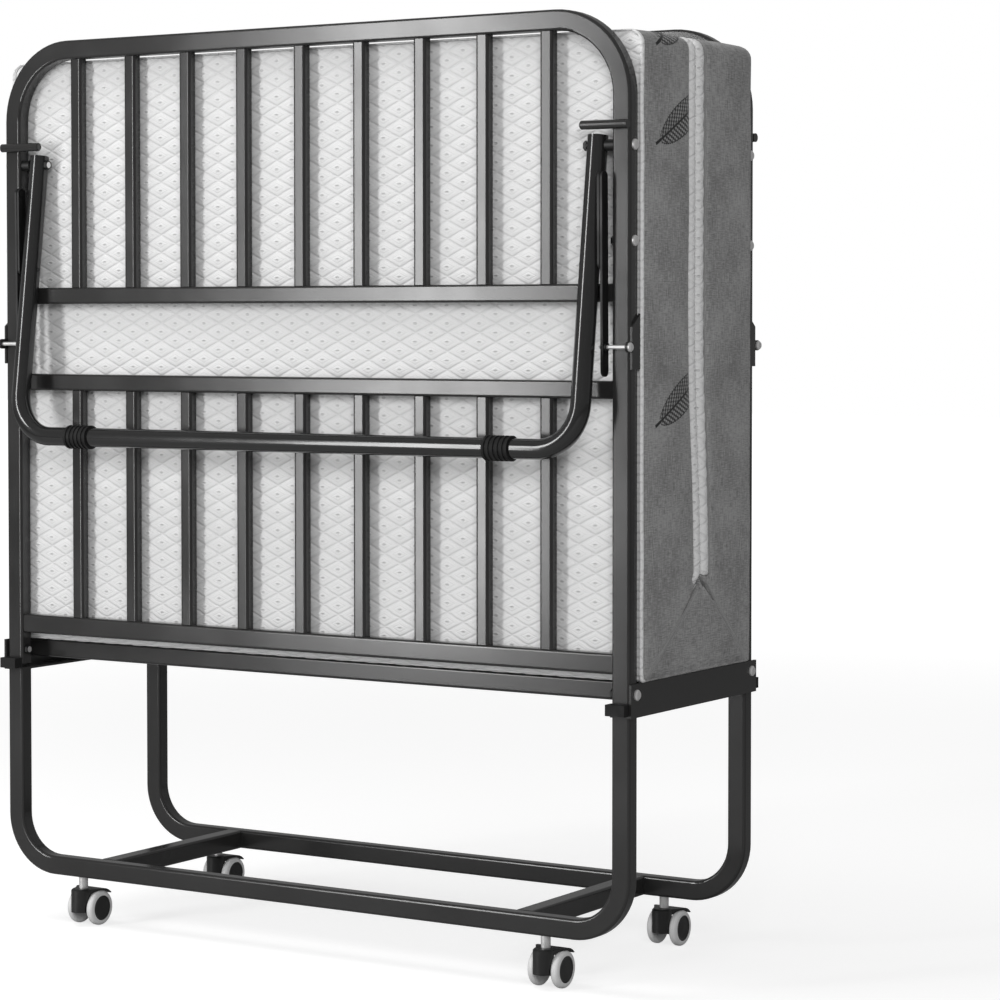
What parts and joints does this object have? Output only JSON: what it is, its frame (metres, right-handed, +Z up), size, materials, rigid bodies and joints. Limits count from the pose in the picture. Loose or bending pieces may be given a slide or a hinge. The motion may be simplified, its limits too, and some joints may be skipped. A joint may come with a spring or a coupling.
{
  "type": "folding cot",
  "caption": "Rollaway folding bed on casters, folded upright, with steel slat frame, folding legs and a folded quilted mattress.",
  "frame": {"origin": "on the floor at the middle of the folded bed", "axes": "+X to the right as seen from the front leg's side, +Y to the rear, +Z up"},
  "size_m": [0.98, 0.415, 1.177],
  "materials": {
    "frame_paint": "satin powder coat",
    "leg_gloss_paint": "gloss paint on round tube",
    "black_steel": "matte black coat",
    "bright_steel": "zinc plated",
    "grip_rubber": "matte ribbed rubber",
    "stop_rubber": "matte rubber",
    "mattress_knit": "quilted white knit with grey linen-look border",
    "caster_plastic": "moulded",
    "hub_plastic": "moulded",
    "caster_tyre": "pale grey soft tread"
  },
  "bodies": {
    "base": {"base_front_frame": "frame_paint", "base_rear_frame": "frame_paint", "base_cross_tubes": "frame_paint", "base_top_bars": "frame_paint", "base_side_bar_left": "frame_paint", "base_side_bar_right": "frame_paint", "rail_stop_clips": "stop_rubber", "main_pivot_bolts": "bright_steel", "main_pivot_nuts": "black_steel", "caster_stems": "bright_steel", "mattress_middle": "mattress_knit"},
    "front_half": {"front_frame_tube": "frame_paint", "front_bottom_bar": "frame_paint", "front_mid_bars": "frame_paint", "front_upper_slats": "frame_paint", "front_lower_slats": "frame_paint", "front_stop_pegs": "frame_paint", "front_brace_plates": "frame_paint", "front_brace_bolts": "bright_steel", "front_side_bolts": "bright_steel", "front_leg_spacers": "black_steel", "front_rail_nuts": "black_steel", "mattress_front": "mattress_knit"},
    "front_leg": {"front_leg_tube": "leg_gloss_paint", "front_leg_grips": "grip_rubber", "front_leg_studs": "black_steel"},
    "front_lower_link": {"front_lower_links": "black_steel", "front_knee_rivets": "black_steel"},
    "front_upper_link": {"front_upper_links": "black_steel"},
    "rear_half": {"rear_frame_tube": "frame_paint", "rear_bottom_bar": "frame_paint", "rear_mid_bars": "frame_paint", "rear_upper_slats": "frame_paint", "rear_lower_slats": "frame_paint", "rear_stop_pegs": "frame_paint", "rear_brace_plates": "frame_paint", "rear_brace_bolts": "bright_steel", "rear_side_bolts": "bright_steel", "rear_leg_spacers": "black_steel", "rear_rail_nuts": "black_steel", "mattress_rear": "mattress_knit"},
    "rear_leg": {"rear_leg_tube": "leg_gloss_paint", "rear_leg_grips": "grip_rubber", "rear_leg_studs": "black_steel"},
    "rear_lower_link": {"rear_lower_links": "black_steel", "rear_knee_rivets": "black_steel"},
    "rear_upper_link": {"rear_upper_links": "black_steel"},
    "caster_fl": {"caster_hood_fl": "caster_plastic", "caster_axle_fl": "bright_steel"},
    "wheels_fl": {"caster_tyres_fl": "caster_tyre", "caster_hubs_fl": "hub_plastic"},
    "caster_fr": {"caster_hood_fr": "caster_plastic", "caster_axle_fr": "bright_steel"},
    "wheels_fr": {"caster_tyres_fr": "caster_tyre", "caster_hubs_fr": "hub_plastic"},
    "caster_rl": {"caster_hood_rl": "caster_plastic", "caster_axle_rl": "bright_steel"},
    "wheels_rl": {"caster_tyres_rl": "caster_tyre", "caster_hubs_rl": "hub_plastic"},
    "caster_rr": {"caster_hood_rr": "caster_plastic", "caster_axle_rr": "bright_steel"},
    "wheels_rr": {"caster_tyres_rr": "caster_tyre", "caster_hubs_rr": "hub_plastic"}
  },
  "joints": [
    {"name": "front_half_hinge", "type": "hinge", "parent": "base", "child": "front_half", "pos_m": [0, -0.147, 0.364], "axis": [1, 0, 0], "range_deg": [0, 90]},
    {"name": "front_leg_fold", "type": "hinge", "parent": "front_half", "child": "front_leg", "pos_m": [0, -0.147, 1.014], "axis": [-1, 0, 0], "range_deg": [0, 98.91]},
    {"name": "front_lower_link_swing", "type": "hinge", "parent": "front_half", "child": "front_lower_link", "pos_m": [0, -0.1635, 0.7755], "axis": [1, 0, 0], "range_deg": [0, 22.67]},
    {"name": "front_knee_fold", "type": "hinge", "parent": "front_lower_link", "child": "front_upper_link", "pos_m": [0, -0.16557, 0.97575], "axis": [-1, 0, 0], "range_deg": [0, 180.1]},
    {"name": "rear_half_hinge", "type": "hinge", "parent": "base", "child": "rear_half", "pos_m": [0, 0.147, 0.364], "axis": [-1, 0, 0], "range_deg": [0, 90]},
    {"name": "rear_leg_fold", "type": "hinge", "parent": "rear_half", "child": "rear_leg", "pos_m": [0, 0.147, 1.014], "axis": [1, 0, 0], "range_deg": [0, 98.91]},
    {"name": "rear_lower_link_swing", "type": "hinge", "parent": "rear_half", "child": "rear_lower_link", "pos_m": [0, 0.1635, 0.7755], "axis": [-1, 0, 0], "range_deg": [0, 22.67]},
    {"name": "rear_knee_fold", "type": "hinge", "parent": "rear_lower_link", "child": "rear_upper_link", "pos_m": [0, 0.16557, 0.97575], "axis": [1, 0, 0], "range_deg": [0, 180.1]},
    {"name": "caster_swivel_fl", "type": "hinge", "parent": "base", "child": "caster_fl", "pos_m": [-0.361, -0.147, 0.05], "axis": [0, 0, 1], "continuous": true},
    {"name": "wheel_spin_fl", "type": "hinge", "parent": "caster_fl", "child": "wheels_fl", "pos_m": [-0.361, -0.134, 0.023], "axis": [1, 0, 0], "continuous": true},
    {"name": "caster_swivel_fr", "type": "hinge", "parent": "base", "child": "caster_fr", "pos_m": [0.361, -0.147, 0.05], "axis": [0, 0, 1], "continuous": true},
    {"name": "wheel_spin_fr", "type": "hinge", "parent": "caster_fr", "child": "wheels_fr", "pos_m": [0.361, -0.134, 0.023], "axis": [1, 0, 0], "continuous": true},
    {"name": "caster_swivel_rl", "type": "hinge", "parent": "base", "child": "caster_rl", "pos_m": [-0.361, 0.147, 0.05], "axis": [0, 0, 1], "continuous": true},
    {"name": "wheel_spin_rl", "type": "hinge", "parent": "caster_rl", "child": "wheels_rl", "pos_m": [-0.361, 0.16, 0.023], "axis": [1, 0, 0], "continuous": true},
    {"name": "caster_swivel_rr", "type": "hinge", "parent": "base", "child": "caster_rr", "pos_m": [0.361, 0.147, 0.05], "axis": [0, 0, 1], "continuous": true},
    {"name": "wheel_spin_rr", "type": "hinge", "parent": "caster_rr", "child": "wheels_rr", "pos_m": [0.361, 0.16, 0.023], "axis": [1, 0, 0], "continuous": true}
  ],
  "couplings": [
    {"joint": "front_lower_link_swing", "follows": "front_leg_fold", "ratio": 0.22871},
    {"joint": "front_knee_fold", "follows": "front_leg_fold", "ratio": 1.8199},
    {"joint": "rear_lower_link_swing", "follows": "rear_leg_fold", "ratio": 0.22871},
    {"joint": "rear_knee_fold", "follows": "rear_leg_fold", "ratio": 1.8199}
  ]
}
